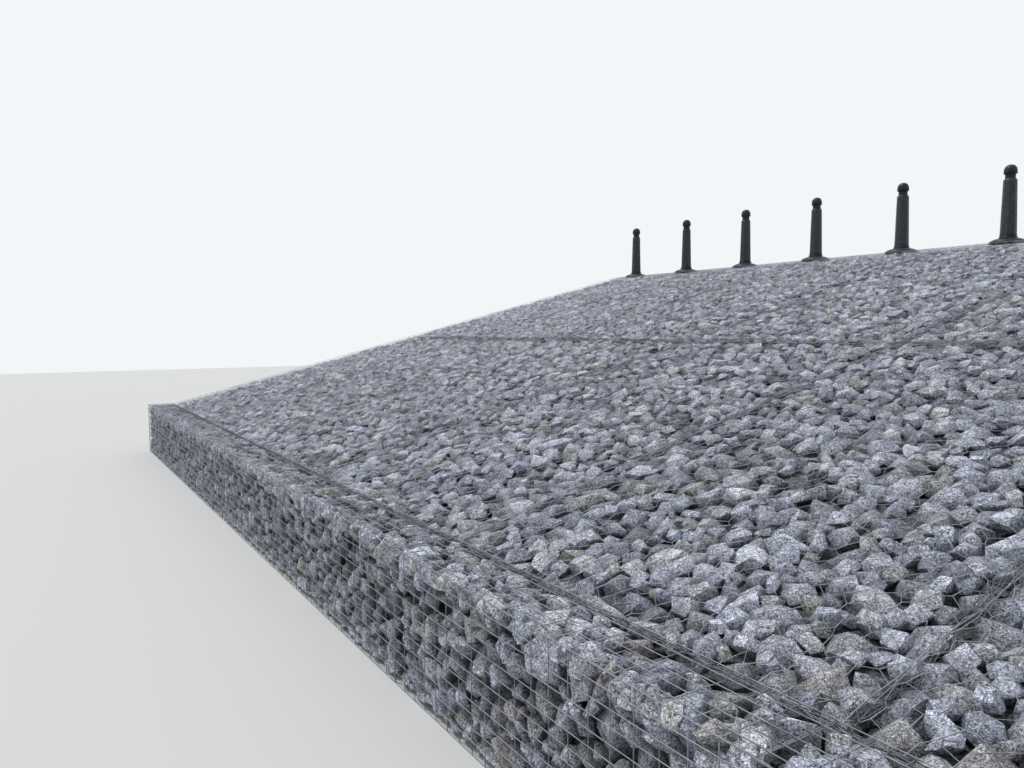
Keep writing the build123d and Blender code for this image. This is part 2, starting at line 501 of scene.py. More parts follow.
def makeStoneMaterial(name):
    finish = stoneFinish
    material, tree, shader = newMaterial(name + "Stone")
    rock = placeGroup(tree, quarriedStone, finish[name])
    dustColour = [part * finish[name]["Lightness"] for part in finish["dustColour"]] + [1]
    colour = addDust(tree, rock["Color"], finish["dust"][name], finish["dustPatch"], dustColour)
    bevel = addNode(tree, "ShaderNodeBevel", {"Radius": finish["wornEdge"]}, samples=finish["bevelSamples"])
    worn = bevel.outputs[0]
    bump = {"Height": rock["Height"], "Distance": finish["bump"][name], "Strength": 1.0, "Normal": worn}
    finishSurface(tree, shader, colour, rock["Roughness"], bump, {"Specular IOR Level": finish["specular"]})
    return material


wireFinish = {
    "welded": {"Pale": (0.33, 0.345, 0.38, 1), "Dark": (0.18, 0.188, 0.21, 1)},
    "twisted": {"Pale": (0.44, 0.46, 0.50, 1), "Dark": (0.22, 0.23, 0.26, 1)},
    "lacing": {"Pale": (0.25, 0.262, 0.295, 1), "Dark": (0.09, 0.097, 0.112, 1)},
    "dustColour": {
        "welded": (0.36, 0.375, 0.41, 1),
        "twisted": (0.38, 0.395, 0.43, 1),
        "lacing": (0.24, 0.25, 0.275, 1),
    },
    "metallic": {"welded": 0.35, "twisted": 0.3, "lacing": 0.3},
    "dust": 0.35,
    "dustPatch": 22.0,
    "bump": 0.0004,
    "bumpStrength": 0.8,
}


def makeWireMaterial(name):
    finish = wireFinish
    material, tree, shader = newMaterial(name + "Wire")
    zinc = placeGroup(tree, zincPatina, finish[name])
    colour = addDust(tree, zinc["Color"], finish["dust"], finish["dustPatch"], finish["dustColour"][name])
    bump = {"Height": zinc["Height"], "Distance": finish["bump"], "Strength": finish["bumpStrength"]}
    finishSurface(tree, shader, colour, zinc["Roughness"], bump, {"Metallic": finish["metallic"][name]})
    return material


ironFinish = {
    "paint": (0.010, 0.014, 0.021, 1),
    "faded": (0.020, 0.026, 0.036, 1),
    "chipped": (0.10, 0.105, 0.108, 1),
    "clouds": (9.0, 5.0, 0.6),              # noises: scale, detail, roughness
    "castGrain": (330.0, 3.0, 0.6),
    "chips": (60.0, 4.0, 0.75),
    "fading": (0.35, 0.70),                 # ranges of the noises
    "chipping": (0.42, 0.62),
    "roughness": (0.3, 0.7, 0.36, 0.55),
    "wear": 0.7,
    "dust": 0.10,
    "dustPatch": 12.0,
    "dustColour": (0.09, 0.10, 0.112, 1),
    "bump": 0.0006,
    "bumpStrength": 0.7,
    "specular": 0.26,
}


def makeIronMaterial():
    finish = ironFinish
    material, tree, shader = newMaterial("paintedIron")
    place = addNode(tree, "ShaderNodeTexCoord").outputs["Object"]
    noises = ("clouds", "castGrain", "chips")
    clouds, castGrain, chips = (addNoise(tree, place, *finish[noise]) for noise in noises)
    fading = addRange(tree, clouds, *finish["fading"])
    colour = addMix(tree, fading, finish["paint"], finish["faded"])
    chipping = addRange(tree, chips, *finish["chipping"])
    wear = addMath(tree, "MULTIPLY", addMask(tree, "edgeMask"), chipping, finish["wear"])
    colour = addMix(tree, wear, colour, finish["chipped"])
    colour = addDust(tree, colour, finish["dust"], finish["dustPatch"], finish["dustColour"])
    roughness = addRange(tree, clouds, *finish["roughness"])
    bump = {"Height": castGrain, "Distance": finish["bump"], "Strength": finish["bumpStrength"]}
    finishSurface(tree, shader, colour, roughness, bump, {"Specular IOR Level": finish["specular"]})
    return material


bankStone = makeStoneMaterial("bank")
toeStone = makeStoneMaterial("toe")
# the dark material of the block and rubble behind the stones is painted shade
shadeCoreStone = makeStoneMaterial("core")
weldedWire = makeWireMaterial("welded")
twistedWire = makeWireMaterial("twisted")
lacingWire = makeWireMaterial("lacing")
paintedIron = makeIronMaterial()
report("materials made")


# Rocks: blocks split by flat breaks, kept as arrays and laid many times
mostFacets = 100            # numbers kept apart for the facets of one stone
# reach is how far out the breaks lie, merge the distance at which corners become one, crowned the
# area from which a facet gets a middle of its own, and blunt the angle under which facets join
rockShapes = {
    "bank": {"count": 44, "cuts": 8, "reach": (0.72, 0.98), "merge": 0.42, "crowned": 2.0, "blunt": 42},
    "toe": {"count": 36, "cuts": 9, "reach": (0.72, 0.98), "merge": 0.26, "crowned": 0.80, "blunt": 38},
    "back": {"count": 20, "cuts": 6, "reach": (0.74, 1.00), "merge": 0.34, "crowned": 9.0, "blunt": 34},
    "seeds": {"bank": 11, "toe": 23, "back": 37},
    "turn": 2.4,                # radians round the rock from one break to the next
    "turnSway": (-0.5, 0.5),
    "tipping": 0.25,            # how far a break leans at random
    "crown": (-0.02, 0.09),     # rise of the middle of a large facet
}


def splitRock(rng, shape):
    bm = bmesh.new()
    turn = Matrix.Rotation(rng.uniform(0, anyTurn), 4, Vector(rng.normal(size=3)).normalized())
    bmesh.ops.create_cube(bm, size=2.0, matrix=turn)
    for cut in range(shape["cuts"]):
        height = 1 - 2 * (cut + 0.5) / shape["cuts"]
        around = rockShapes["turn"] * cut + rng.uniform(*rockShapes["turnSway"])
        flat = math.sqrt(1 - height * height)
        normal = Vector((flat * math.cos(around), flat * math.sin(around), height))
        normal = (normal + Vector(rng.normal(0, rockShapes["tipping"], 3))).normalized()
        place = normal * rng.uniform(*shape["reach"])
        whole = bm.verts[:] + bm.edges[:] + bm.faces[:]
        cutOff = bmesh.ops.bisect_plane(bm, geom=whole, plane_co=place, plane_no=normal, clear_outer=True)
        rim = [part for part in cutOff["geom_cut"] if isinstance(part, bmesh.types.BMEdge)]
        if rim:
            bmesh.ops.contextual_create(bm, geom=rim)
    bmesh.ops.remove_doubles(bm, verts=bm.verts[:], dist=shape["merge"])
    bmesh.ops.recalc_face_normals(bm, faces=bm.faces[:])
    bm.verts.index_update()
    bm.faces.index_update()
    # facets that meet at a blunt angle are shaded as one rounded face
    facetOf = list(range(len(bm.faces)))
    for join in bm.edges:
        if len(join.link_faces) == 2 and join.calc_face_angle() < math.radians(shape["blunt"]):
            first, second = (facetOf[face.index] for face in join.link_faces)
            facetOf = [first if facet == second else facet for facet in facetOf]
    verts = [list(vert.co) for vert in bm.verts]
    edge = [1.0] * len(verts)
    tris, facet, tone = [], [], []
    for face in bm.faces:
        ring = [vert.index for vert in face.verts]
        shade = rng.uniform(0, 1)
        if face.calc_area() > shape["crowned"]:
            middle = face.calc_center_median() + face.normal * rng.uniform(*rockShapes["crown"])
            verts.append(list(middle))
            edge.append(0.0)
            fan = [(a, b, len(verts) - 1) for a, b in zip(ring, ring[1:] + ring[:1])]
        else:
            fan = [(ring[0], a, b) for a, b in zip(ring[1:], ring[2:])]
        tris += fan
        facet += [facetOf[face.index]] * len(fan)
        tone += [shade] * len(fan)
    bm.free()
    verts = np.array(verts)
    low, high = verts.min(0), verts.max(0)
    verts = (verts - (low + high) / 2) / ((high - low) / 2)
    return {
        "verts": verts, "tris": np.array(tris), "facet": np.array(facet),
        "tone": np.array(tone), "edge": np.array(edge),
    }


rocks = {}
for kind, seed in rockShapes["seeds"].items():
    rng = np.random.default_rng(seed)
    rocks[kind] = [splitRock(rng, rockShapes[kind]) for _ in range(rockShapes[kind]["count"])]
report("rocks split")


# Stones are laid big ones first, each where it finds room, then spread to meet their neighbours
packing = {
    "edgeRoom": 0.5,            # of a stone's radius, at the edge of a face
    "vary": (0.88, 1.12),       # of each size
    "neighbours": 6,
    "rimReach": 1.5,            # radii within which an edge counts as a neighbour
    "stretch": (0.72, 1.75),    # least and most that a stone spreads, of its radius
    "slanting": 0.05,           # an edge that slants more than this holds the stones back by itself
    "brightness": (0.5, 0.25),  # middle and deviation
    "rubbleSway": (-0.3, 0.3),
    "rubbleShade": (0.2, 0.8),
    "rubbleTone": (0.0, 0.5, 0.0, 0.3),
    "shadeCoreTone": (0.4, 0.2, 0.5, 0.3),
}


def scatterStones(rng, outline, sizes, closeness):
    corners = np.array(outline, float)
    low, high = corners.min(0), corners.max(0)
    area = np.prod(high - low)
    places, radii = np.zeros((0, 2)), np.zeros(0)
    for diameter, tries in sizes:
        count = max(1, int(area * tries))
        spots = rng.uniform(low, high, (count, 2))
        reach = diameter / 2 * rng.uniform(*packing["vary"], count)
        inside = (edgeDistances(outline, spots)[0] > reach[:, None] * packing["edgeRoom"]).all(1)
        spots, reach = spots[inside], reach[inside]
        if len(places) and len(spots):
            apart = np.linalg.norm(spots[:, None] - places[None], axis=2)
            free = (apart > closeness * (reach[:, None] + radii[None])).all(1)
            spots, reach = spots[free], reach[free]
        newPlaces, newRadii = np.zeros((len(spots), 2)), np.zeros(len(spots))
        taken = 0
        for spot, radius in zip(spots, reach):
            gap = np.hypot(newPlaces[:taken, 0] - spot[0], newPlaces[:taken, 1] - spot[1])
            if (gap > closeness * (newRadii[:taken] + radius)).all():
                newPlaces[taken], newRadii[taken] = spot, radius
                taken += 1
        places = np.concatenate([places, newPlaces[:taken]])
        radii = np.concatenate([radii, newRadii[:taken]])
    return places, radii


def spreadStones(outline, places, radii):
    # half widths and the angle of each stone, from the room to its nearest neighbours
    count = len(places)
    near = min(packing["neighbours"], count - 1)
    step = places[None] - places[:, None]
    apart = np.linalg.norm(step, axis=2) + np.eye(count) * 1e6
    order = np.argsort(apart - radii[None], axis=1)[:, :near]
    share = radii[:, None] / (radii[:, None] + radii[order])
    halfway = np.take_along_axis(step, order[:, :, None].repeat(2, 2), 1) * share[:, :, None]
    spread = np.einsum("nki,nkj->nij", halfway, halfway)
    weight = np.full(count, float(near))
    rims, normals = edgeDistances(outline, places)
    for side in range(len(outline)):
        close = rims[:, side] < packing["rimReach"] * radii
        room = rims[close, side][:, None] * -normals[side][None]
        spread[close] += np.einsum("ni,nj->nij", room, room)
        weight[close] += 1
    spread = 2 * spread / weight[:, None, None]
    sizes, directions = np.linalg.eigh(spread)
    least, most = (share * radii[:, None] for share in packing["stretch"])
    halfWidths = np.clip(np.sqrt(sizes), least, most)
    return halfWidths, np.arctan2(directions[:, 1, 0], directions[:, 0, 0])


def turnMatrices(axis, angle):
    # rotation matrices about unit axes, one for each stone
    x, y, z = axis.T
    c, s = np.cos(angle), np.sin(angle)
    t = 1 - c
    rows = [t * x * x + c, t * x * y - s * z, t * x * z + s * y,
            t * x * y + s * z, t * y * y + c, t * y * z - s * x,
            t * x * z - s * y, t * y * z + s * x, t * z * z + c]
    return np.stack(rows, 1).reshape(-1, 3, 3)


def layStones(heap, face, outline, style, openFaces, surface=None):
    rng = heap["rng"]
    places, radii = scatterStones(rng, outline, style["sizes"], style["closeness"])
    halfWidths, angle = spreadStones(outline, places, radii)
    count = len(places)
    shapes = rocks[style["rock"]]
    # a row's stones may reach over its inner side, but none leaves the face
    low, high = np.array(face["outline"]).min(0), np.array(face["outline"]).max(0)
    margins = np.array(face["margins"] or [style["rim"]] * 4)
    upright = np.tile([0.0, 0.0, 1.0], (count, 1))
    lean = rng.uniform(0, 2 * math.pi, count)
    leanAxis = np.stack([np.cos(lean), np.sin(lean), np.zeros(count)], 1)
    tilt = np.radians(style["tilt"]) * rng.uniform(-1, 1, count)
    turned = turnMatrices(upright, angle)
    spun = turnMatrices(upright, rng.uniform(0, 2 * math.pi, count))
    leaned = turnMatrices(leanAxis, tilt)
    thick = np.sqrt(halfWidths.prod(1)) * rng.uniform(*style["thickness"], count)
    scale = np.concatenate([halfWidths * style["spread"], thick[:, None]], 1)
    move = leaned @ turned @ (np.eye(3)[None] * scale[:, None, :]) @ spun
    sink = style["clear"] + rng.uniform(0, 1, count) ** style["even"] * style["relief"]
    if surface is not None:
        sink = sink + surface(places)
    which = rng.integers(0, len(shapes), count)
    # brightness, kind of rock, facet and seed of each stone, for its colour
    tones = np.zeros((count, 4))
    tones[:, 0] = np.clip(rng.normal(*packing["brightness"], count), 0, 1)
    tones[:, 1], tones[:, 3] = rng.uniform(0, 1, count), rng.uniform(0, 1, count)
    tops = []
    for number, shape in enumerate(shapes):
        chosen = np.flatnonzero(which == number)
        if not len(chosen):
            continue
        points = np.einsum("nij,vj->nvi", move[chosen], shape["verts"])
        points[:, :, :2] += places[chosen][:, None, :]
        points[:, :, 2] -= points[:, :, 2].max(1)[:, None] + sink[chosen][:, None]
        rims, normals = edgeDistances(outline, points[:, :, :2].reshape(-1, 2))
        for edge in np.flatnonzero((np.abs(normals) > packing["slanting"]).all(1)):
            outside = np.maximum(style["rim"] - rims[:, edge].reshape(points.shape[:2]).min(1), 0)
            points[:, :, :2] += outside[:, None, None] * normals[edge]
        lowest, highest = points[:, :, :2].min(1), points[:, :, :2].max(1)
        nudge = np.maximum(low + margins[:2] - lowest, 0) + np.minimum(high - margins[2:] - highest, 0)
        points[:, :, :2] += nudge[:, None, :]
        points = points.reshape(-1, 3)
        tops.append(points)
        laid = faceToWorld(face, points)
        # painted shade: a stone darkens by its depth behind the nearest face that is open to the air
        below = np.min([(near["origin"] - laid) @ near["axes"][2] for near in openFaces], axis=0)
        shadeLevel = np.clip((below - style["clear"]) / style["fullShadeDepth"], 0, 1)
        stone = np.arange(len(chosen))[:, None]
        tris = shape["tris"][None] + stone[:, :, None] * len(shape["verts"])
        facets = shape["facet"][None] + stone * mostFacets
        tone = np.tile(tones[chosen][:, None], (1, len(shape["tris"]), 1))
        tone[:, :, 2] = shape["tone"][None]
        addToHeap(heap, laid, tris.reshape(-1, 3), facets.ravel(), tone.reshape(-1, 4),
                  np.tile(shape["edge"], len(chosen)), shadeLevel)
    return np.concatenate(tops)


def addShadeCore(heap, outline, inset, start, end):
    # a closed block behind the stones, dark with painted shade, held back from the ends of the wall,
    # outline given in (y, z)
    ring = insetOutline(outline, inset)
    startX = start + (inset if start == leftEnd else slack)
    endX = end - (inset if end > rightEnd - slack else slack)
    verts = np.array([(x, *corner) for x in (startX, endX) for corner in ring])
    count = len(ring)
    tris = []
    for k in range(count):
        j = (k + 1) % count
        tris += [(j, j + count, k), (j + count, k + count, k)]
    tris += [(k + 1, k, 0) for k in range(1, count - 1)]
    tris += [(count + k, count + k + 1, count) for k in range(1, count - 1)]
    tone = np.tile(packing["shadeCoreTone"], (len(tris), 1))
    addToHeap(heap, verts, np.array(tris), np.arange(len(tris)), tone, material=1)


def addRubble(heap, face, style):
    # a closed slab with a broken top, dark with painted shade, which shows between the stones
    rng = heap["rng"]
    width, height = face["outline"][2]
    columns, rows = (max(2, round(side / style["rubbleCell"])) for side in (width, height))
    side, end = style["rubbleRims"]
    across, up = np.linspace(side, width - side, columns + 1), np.linspace(end, height - end, rows + 1)
    u, v = np.meshgrid(across, up, indexing="ij")
    sway = rng.uniform(*packing["rubbleSway"], (2, columns - 1, rows - 1)) * style["rubbleCell"]
    u[1:-1, 1:-1] += sway[0]
    v[1:-1, 1:-1] += sway[1]
    w = -rng.uniform(*style["rubbleDepth"], u.shape)
    top = np.stack([u, v, w], 2).reshape(-1, 3)
    index = np.arange(len(top)).reshape(u.shape)
    corners = (index[:-1, :-1], index[1:, :-1], index[1:, 1:], index[:-1, 1:])
    near, right, far, left = (corner.ravel() for corner in corners)
    rim = np.concatenate([index[:-1, 0], index[-1, :-1], index[:0:-1, -1], index[0, :0:-1]])
    foot = top[rim]
    foot[:, 2] = -style["rubbleFoot"]
    low = len(top) + np.arange(len(rim))
    afterRim, afterLow = np.roll(rim, -1), np.roll(low, -1)
    tris = np.concatenate([np.stack(three, 1) for three in (
        (near, right, far), (near, far, left), (low, afterLow, afterRim), (low, afterRim, rim),
        (np.full(len(rim) - 2, low[0]), low[2:], low[1:-1]),
    )])
    tone = np.full((len(tris), 4), packing["rubbleTone"])
    tone[:, 0] = rng.uniform(*packing["rubbleShade"], len(tris))
    tone[:, 2] = rng.uniform(0, 1, len(tris))
    verts = faceToWorld(face, np.concatenate([top, foot]))
    addToHeap(heap, verts, tris, np.arange(len(tris)), tone, material=1)


# Toe wall: stones hand-packed flat against the mesh of the front, the lid and the two ends
toePacking = {
    # diameters and how many tries each gets on a square metre
    "sizes": [(0.138, 14), (0.110, 90), (0.090, 400), (0.071, 1500), (0.054, 2600)],
    "closeness": 0.90,
    "spread": 1.06,
    "thickness": (0.70, 1.05),
    "tilt": 26,             # degrees that a stone leans at most
    "clear": 0.0065,        # behind the outer face of the mesh
    # the painted shade on a stone's sides is darkest at this depth
    "fullShadeDepth": 0.036,     # depth at which a stone's sides are darkest
    "relief": 0.020,
    "even": 1.4,
    "rim": 0.004,
    "rock": "toe",
    # the block behind the rubble is dark with painted shade
    "core": 0.100,          # depth of the dark block behind the rubble
    "rubbleCell": 0.055,
    "rubbleDepth": (0.050, 0.095),
    "rubbleFoot": 0.105,
    "rubbleRims": (0.004, 0.050),
    "seed": 100,
}
# a row of small stones fills in along the foot of the front
footPacking = dict(
    toePacking, sizes=[(0.074, 1200), (0.052, 3000)], relief=0.010, closeness=0.84, rim=0.001,
)
footRow = 0.05
toeWidth = toeBackY - frontY
toeOutline = [(frontY, 0), (toeBackY, 0), (toeBackY, toeTop), (frontY, toeTop)]


def toeFaces(bay):
    # the front, the lid and, in the first and the last bay, the end of the wall
    start = leftEnd + bay * bayLength
    faces = [uprightFace((start, frontY, 0), alongWall, bayLength, toeTop),
             levelFace((start, frontY, toeTop), bayLength, toeWidth)]
    if bay == 0:
        faces.append(uprightFace((leftEnd, toeBackY, 0), (0, -1, 0), toeWidth, toeTop))
    if bay == lastBay:
        faces.append(uprightFace((rightEnd, frontY, 0), (0, 1, 0), toeWidth, toeTop))
    return faces


for bay in range(wall["bays"]):
    heap = newHeap(toePacking["seed"] + bay)
    start = leftEnd + bay * bayLength
    faces = toeFaces(bay)
    addShadeCore(heap, toeOutline, toePacking["core"], start, start + bayLength)
    for face in faces[:2]:
        addRubble(heap, face, toePacking)
    layStones(heap, faces[0], rectangle(bayLength, footRow), footPacking, faces)
    for face in faces:
        layStones(heap, face, face["outline"], toePacking, faces)
    finishHeap(heap, f"toeStones{bay + 1}", [toeStone, shadeCoreStone], [f"toe_gabion_{bay + 1}"])
report("toe wall stones laid")


# Mattresses: looser stones tipped in and levelled by hand, lower along the seams
bankPacking = {
    "sizes": [(0.158, 10), (0.130, 50), (0.104, 200), (0.085, 900), (0.068, 1800), (0.053, 2400)],
    "closeness": 0.90,
    "spread": 1.13,
    "thickness": (0.66, 1.00),
    "tilt": 36,
    "clear": 0.006,
    # the painted shade on a stone's sides is darkest at this depth
    "fullShadeDepth": 0.062,
    "relief": 0.034,
    "even": 1.4,
    "rim": 0.001,
    "rock": "bank",
    "core": 0.110,
    "seamWidth": 0.09,
    "seamDrop": 0.016,
    "headDrop": 0.046,      # the lower row's head lies low against the foot of the upper row
    "footDrop": 0.004,
    "overlap": 0.014,       # of stones across a seam into the next mattress
    "rubbleCell": 0.085,
    "rubbleDepth": (0.060, 0.105),
    "rubbleFoot": 0.125,
    "rubbleRims": (0.004, 0.004),
    "seed": {"lower": 200, "upper": 250},
}
sidePacking = dict(
    bankPacking, sizes=[(0.190, 50), (0.150, 200), (0.120, 520)], rock="back", relief=0.02, tilt=14,
    rim=0.003, fullShadeDepth=0.080, overlap=0.025,
    seed={"lowerBacking": 384, "upperBacking": 394, "crestGabion": 397},
)
cornerPacking = dict(
    sidePacking, sizes=[(0.120, 900), (0.090, 1800)], relief=0.006, closeness=0.80, rim=0.002, tilt=10,
)
cornerRow = 0.125
rowStart = {"lower": 0.0, "upper": wall["lowerRow"]}
rowLength = {"lower": wall["lowerRow"], "upper": slopeLength - wall["lowerRow"]}
seamTop, seamFoot = onSlope(wall["lowerRow"]), onSlope(wall["lowerRow"], mattressDepth)
mattressOutline = {
    "lower": [onSlope(0), (toeBackY, underside(toeBackY)), seamFoot, seamTop],
    "upper": [seamTop, seamFoot, (crestY, underside(crestY)), onSlope(slopeLength)],
}


def mattressFace(row, bay, margins=None):
    place = (leftEnd + bay * bayLength, *onSlope(rowStart[row]))
    return makeFace(place, alongWall, upSlope, rectangle(bayLength, rowLength[row]), margins)


def seamSink(row):
    # how much lower the stones lie near the four seams of a mattress
    seamDrop, footDrop = bankPacking["seamDrop"], bankPacking["footDrop"]
    headDrop = bankPacking["headDrop"] if row == "lower" else seamDrop

    def sinkAt(places):
        u, v = places.T
        seams = [(u, seamDrop), (bayLength - u, seamDrop), (v, footDrop), (rowLength[row] - v, headDrop)]
        width = bankPacking["seamWidth"]
        return np.max([drop * np.exp(-(reach / width) ** 2) for reach, drop in seams], axis=0)

    return sinkAt


bankTops = {}
over = -bankPacking["overlap"]
for row, outline in mattressOutline.items():
    ends = endFaces(outline)
    for bay in range(wall["bays"]):
        heap = newHeap(bankPacking["seed"][row] + bay)
        start = leftEnd + bay * bayLength
        addShadeCore(heap, outline, bankPacking["core"], start, start + bayLength)
        # stones reach over the seams, but not over the edges of the bank
        seams = (bay > 0, True, bay < lastBay, row == "lower")
        top = mattressFace(row, bay, [over if isSeam else slack for isSeam in seams])
        addRubble(heap, top, bankPacking)
        faces = [top, ends[bay]] if bay in ends else [top]
        bankTops[row, bay] = layStones(heap, top, top["outline"], bankPacking, faces, seamSink(row))
        for side in faces[1:]:
            layStones(heap, side, side["outline"], sidePacking, faces)
        node = f"{row}_mattress_{bay + 1}"
        finishHeap(heap, f"{row}Stones{bay + 1}", [bankStone, shadeCoreStone], [node])
report("bank stones laid")


# The other sides: the backing's back and ends, and the crest
courseFront = (undersideReaches(courseTop), courseTop)
lowerOutline = [(toeBackY, 0), (backY, 0), (backY, courseTop), courseFront, (toeBackY, underside(toeBackY))]
unitOutline = {
    "lowerBacking": lowerOutline,
    "upperBacking": [courseFront, (backY, courseTop), (backY, crestFoot), (crestY, underside(crestY))],
    "crestGabion": [(crestY, crestFoot), (backY, crestFoot), (backY, crestZ), (crestY, crestZ)],
}
unitNode = {"lowerBacking": "lower_backing", "upperBacking": "upper_backing", "crestGabion": "crest_gabion"}


def backFace(course, unit, margins=None):
    low, high = (z for y, z in unitOutline[course] if y == backY)
    start = (leftEnd + (unit + 1) * unitLength, backY, low)
    return uprightFace(start, (-1, 0, 0), unitLength, high - low, margins)


def crestTop(unit):
    return levelFace((leftEnd + unit * unitLength, crestY, crestZ), unitLength, backY - crestY)


rim, over = sidePacking["rim"], -sidePacking["overlap"]
for course, outline in unitOutline.items():
    footMargin = rim if course == "lowerBacking" else over
    headMargin = rim if course == "crestGabion" else over
    ends = endFaces(outline)
    ends[0]["margins"] = [rim, footMargin, over, headMargin]
    ends[lastBay]["margins"] = [over, footMargin, rim, headMargin]
    for unit in range(wall["units"]):
        heap = newHeap(sidePacking["seed"][course] + 10 * unit)
        start = leftEnd + unit * unitLength
        addShadeCore(heap, outline, sidePacking["core"], start, start + unitLength)
        isFirst, isLast = unit == 0, unit == lastUnit
        margins = [rim if isLast else over, footMargin, rim if isFirst else over, headMargin]
        back = backFace(course, unit, margins)
        width, height = back["outline"][2]
        # rows of smaller stones fill in along the corners and the foot
        faces, rows = [back], []
        if course == "crestGabion":
            faces.append(crestTop(unit))
        if isFirst:
            faces.append(ends[0])
            rows.append((back, rectangle(cornerRow, height, width - cornerRow)))
        if isLast:
            faces.append(ends[lastBay])
            rows.append((back, rectangle(cornerRow, height)))
        if course == "lowerBacking":
            rows.append((back, rectangle(width, cornerRow)))
            for end in faces[1:]:
                rows.append((end, rectangle(backY - toeBackY, cornerRow, min(end["outline"])[0])))
        for face in faces:
            layStones(heap, face, face["outline"], sidePacking, faces)
        for face, row in rows:
            layStones(heap, face, row, cornerPacking, faces)
        node = f"{unitNode[course]}_{unit + 1}"
        finishHeap(heap, f"{course}Stones{unit + 1}", [bankStone, shadeCoreStone], [node])
report("back, ends and crest laid")


# Wires: round bars along many lines at once, lines given as (lines, points, 3)
def tubeTris(sides, steps, capped=True):
    first = np.arange(sides)
    after = (first + 1) % sides
    tris = []
    for low in range(0, (steps - 1) * sides, sides):
        high = low + sides
        tris.append(np.stack([low + first, low + after, high + after], 1))
        tris.append(np.stack([low + first, high + after, high + first], 1))
    if capped:
        top = (steps - 1) * sides
        tris.append([(0, k + 1, k) for k in range(1, sides - 1)])
        tris.append([(top, top + k, top + k + 1) for k in range(1, sides - 1)])
    return np.concatenate(tris)


def addTubes(heap, lines, radius, sides, outward, capped=True):
    lines = np.asarray(lines, float)
    many, steps = lines.shape[:2]
    along = np.gradient(lines, axis=1) if steps > 2 else np.repeat(lines[:, 1:] - lines[:, :1], 2, axis=1)
    along /= np.linalg.norm(along, axis=2, keepdims=True)
    across = np.cross(along, np.asarray(outward, float))
    across /= np.linalg.norm(across, axis=2, keepdims=True)
    lift = np.cross(across, along)
    # a wire of three sides has a flat below
    turns = 2 * math.pi * (np.arange(sides) + (0.75 if sides == 3 else 0.5)) / sides
    cosines, sines = np.cos(turns)[:, None], np.sin(turns)[:, None]
    rings = lines[:, :, None] + radius * (cosines * across[:, :, None] + sines * lift[:, :, None])
    tris = tubeTris(sides, steps, capped)[None] + (np.arange(many) * steps * sides)[:, None, None]
    addToHeap(heap, rings.reshape(-1, 3), tris.reshape(-1, 3))


# Welded mesh: long wires in front, upright wires welded behind them, each panel a little out of flat
weldedMesh = {
    "radius": 0.0019,
    "run": 0.100,
    "rise": 0.0505,
    "wave": 0.0030,
    "swell": (2.3, 3.1),    # radians for each metre along u and v
    "ripple": (6.7, 4.0),
    "rippleShare": 0.6,
    "stray": 0.0012,
    "longStray": 0.6,       # of that, for the long wires
    "step": {"toe": 0.125, "back": 0.5, "crest": 0.25},     # between the bends of a wire
    "sides": {"toe": 5, "back": 4, "crest": 4},
    "seed": {"toe": 400, "toeEnds": 420, "backing": 430},
}


def addWeldedPanel(heap, face, place="toe"):
    rng = heap["rng"]
    width, height = face["outline"][2]
    radius = weldedMesh["radius"]
    phase = rng.uniform(0, anyTurn, 4)
    (swellU, swellV), (rippleU, rippleV) = weldedMesh["swell"], weldedMesh["ripple"]
    share = weldedMesh["rippleShare"]

    def bow(u, v):
        swell = np.sin(swellU * u + phase[0]) * np.sin(swellV * v + phase[1])
        ripple = share * np.sin(rippleU * u + rippleV * v + phase[2])
        return weldedMesh["wave"] * ((swell + ripple) / (1 + share) - 1) * 0.5

    # the long wires, then the upright ones
    for pitch, across, length, depth, stray in (
        (weldedMesh["rise"], height, width, radius, weldedMesh["longStray"]),
        (weldedMesh["run"], width, height, 3 * radius, 1.0),
    ):
        count = max(1, round(across / pitch)) + 1
        line = np.linspace(radius, across - radius, count)[:, None]
        line = line + rng.normal(0, weldedMesh["stray"], (count, 1)) * stray
        run = np.linspace(0, length, max(2, round(length / weldedMesh["step"][place]) + 1))[None]
        line, run = np.broadcast_arrays(np.clip(line, radius, across - radius), run)
        u, v = (run, line) if depth == radius else (line, run)
        points = faceToWorld(face, np.stack([u, v, bow(u, v) - depth], 2))
        addTubes(heap, points, radius, weldedMesh["sides"][place], face["axes"][2])


toeJoints = {
    "coil": 0.0050,
    "pitch": 0.05,
    "wire": 0.0013,
    "depth": 0.0068,
    "stepsPerTurn": 8,
    "skew": 0.37,           # keeps the side that the rings start from off the line of the coil
    "endRoom": 0.004,       # clear of the ends of the basket
    "headRoom": 0.006,
}


def addCoil(heap, start, end, outward):
    # a coil of lacing wire round the two wires it joins
    start, end, outward = np.array(start), np.array(end), np.array(outward, float)
    length = np.linalg.norm(end - start)
    along = (end - start) / length
    turns = length / toeJoints["pitch"]
    t = np.linspace(0, 1, int(turns * toeJoints["stepsPerTurn"]) + 1)[:, None]
    around = 2 * math.pi * turns * t
    line = start + along * (length * t) + toeJoints["coil"] * (
        np.cos(around) * np.cross(along, outward) + np.sin(around) * outward)
    addTubes(heap, line[None], toeJoints["wire"], 3, outward + toeJoints["skew"] * along)


